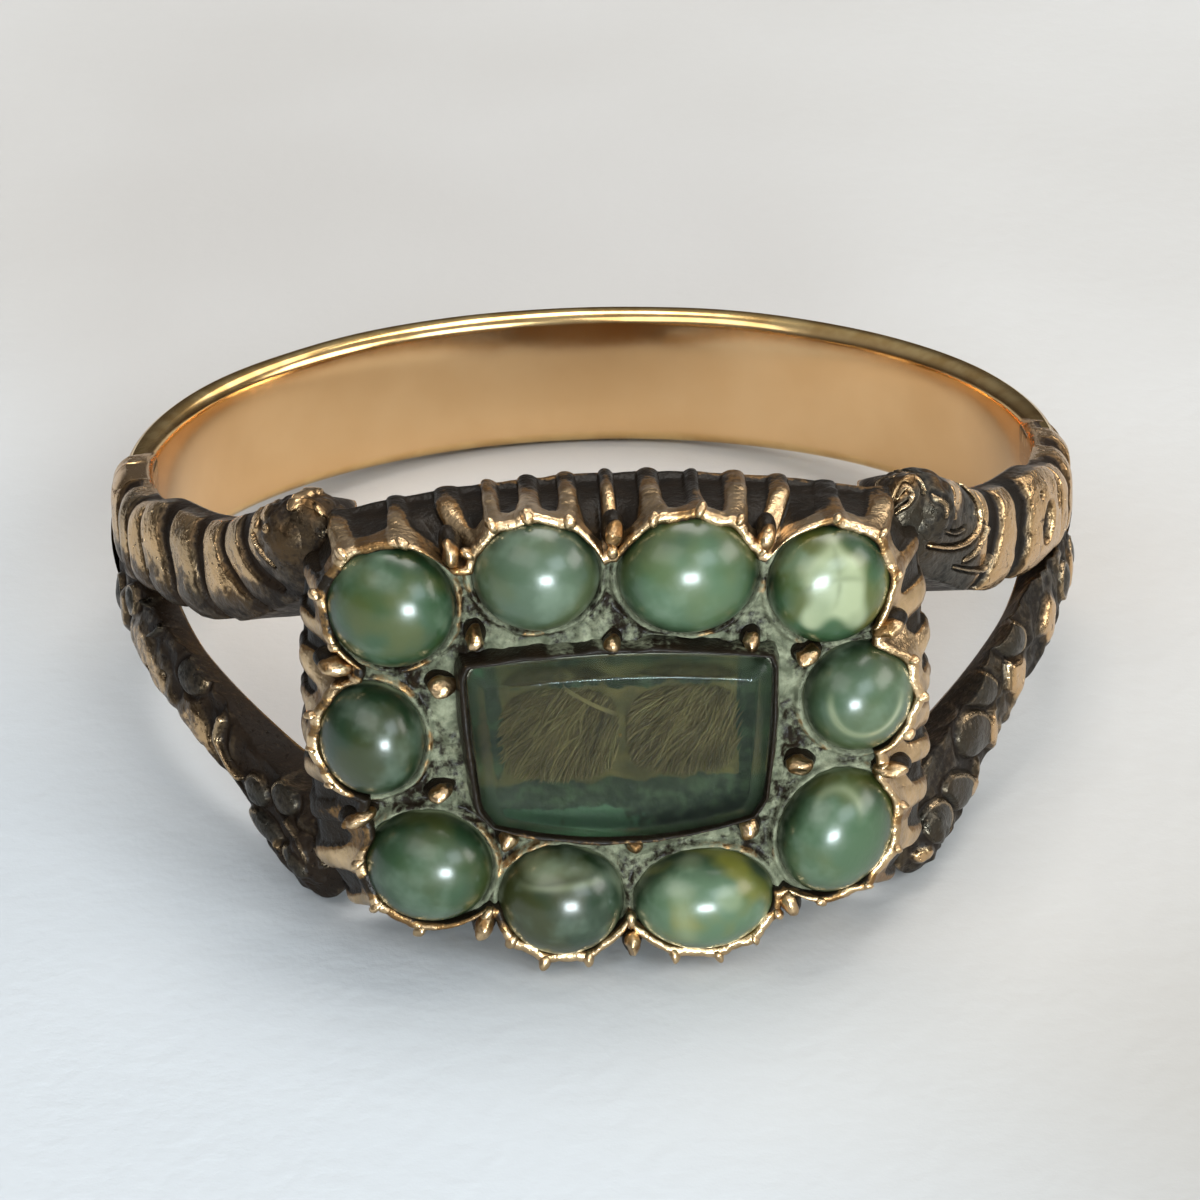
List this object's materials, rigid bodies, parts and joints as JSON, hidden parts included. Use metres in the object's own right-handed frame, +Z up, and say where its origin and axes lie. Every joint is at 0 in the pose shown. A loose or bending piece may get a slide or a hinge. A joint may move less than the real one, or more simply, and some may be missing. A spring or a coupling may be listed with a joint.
{
  "type": "finger ring",
  "caption": "Finger ring with a glazed hair compartment framed by half pearls in a ribbed, scalloped cushion head, on forked chased shoulders and a plain band.",
  "frame": {"origin": "on the surface that the ring lies on, under the middle of its length and width", "axes": "+Z up from that surface, +Y towards the back of the band, the head's face towards -Y, +X to the right seen from in front of the face"},
  "size_m": [0.019, 0.0216, 0.0088],
  "materials": {
    "gold": "polished inside the band, dark tarnish in the chasing",
    "pearl": "glossy green-stained nacre",
    "glass": "clear, faintly green",
    "hair": "dull brown hair"
  },
  "bodies": {
    "root": {"gold_ring": "gold", "pearl_01": "pearl", "pearl_02": "pearl", "pearl_03": "pearl", "pearl_04": "pearl", "pearl_05": "pearl", "pearl_06": "pearl", "pearl_07": "pearl", "pearl_08": "pearl", "pearl_09": "pearl", "pearl_10": "pearl", "glass_cover": "glass", "hair_panel": "hair"}
  },
  "joints": []
}
